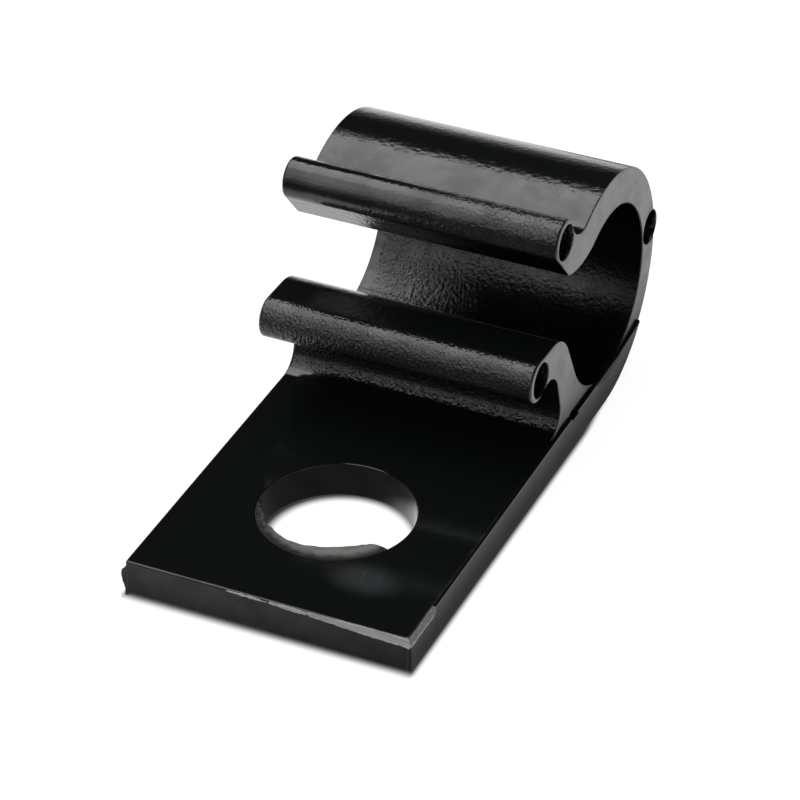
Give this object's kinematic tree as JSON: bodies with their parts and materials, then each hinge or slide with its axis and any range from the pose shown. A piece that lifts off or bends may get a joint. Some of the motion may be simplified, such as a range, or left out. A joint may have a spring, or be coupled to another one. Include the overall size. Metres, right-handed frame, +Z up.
{
  "type": "cable clip",
  "caption": "Screw-down cable clip: a flat plate with a screw hole carries an open C whose flared, beaded lips let a round cable snap in from the front.",
  "frame": {"origin": "centre of the screw hole on the mounting face, the underside of the plate", "axes": "+Y from the screw hole to the cable seat, +X along the cable, +Z up, out of the surface that the clip is screwed to"},
  "size_m": [0.0126, 0.0262, 0.0117],
  "materials": {
    "black_plastic": "black, satin to glossy as moulded, with a fine spark-eroded grain in the seat and on the lips"
  },
  "bodies": {
    "root": {"clip_body": "black_plastic"}
  },
  "joints": []
}
